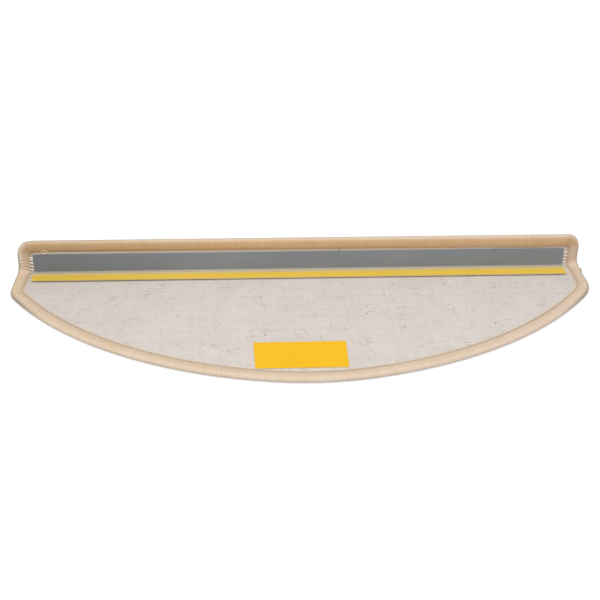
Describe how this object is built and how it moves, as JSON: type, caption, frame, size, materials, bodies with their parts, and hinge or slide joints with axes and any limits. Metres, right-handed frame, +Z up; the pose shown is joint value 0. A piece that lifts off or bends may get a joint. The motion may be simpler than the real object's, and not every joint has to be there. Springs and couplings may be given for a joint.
{
  "type": "stair tread mat",
  "caption": "Half round carpet mat for a stair tread, with a nose flap held square by an angle profile and tape on its backing.",
  "frame": {"origin": "on the floor under the middle of the mat's box, pile down and backing up", "axes": "+Z up out of the backing, +X along the nose, +Y from the rounded rear edge to the standing flap"},
  "size_m": [0.65, 0.241, 0.046],
  "materials": {
    "pile": "short beige pile",
    "scrim": "plain woven off-white backing",
    "binding_yarn": "wrapped yarn, slight sheen",
    "profile": "matt grey",
    "adhesive": "clear to cream adhesive film",
    "liner": "smooth yellow release paper"
  },
  "bodies": {
    "root": {"carpet_pile": "pile", "backing_scrim": "scrim", "edge_binding": "binding_yarn", "nose_profile": "profile", "nose_tape_adhesive": "adhesive", "nose_tape_liner": "liner", "rear_tape_adhesive": "adhesive", "rear_tape_liner": "liner"}
  },
  "joints": []
}
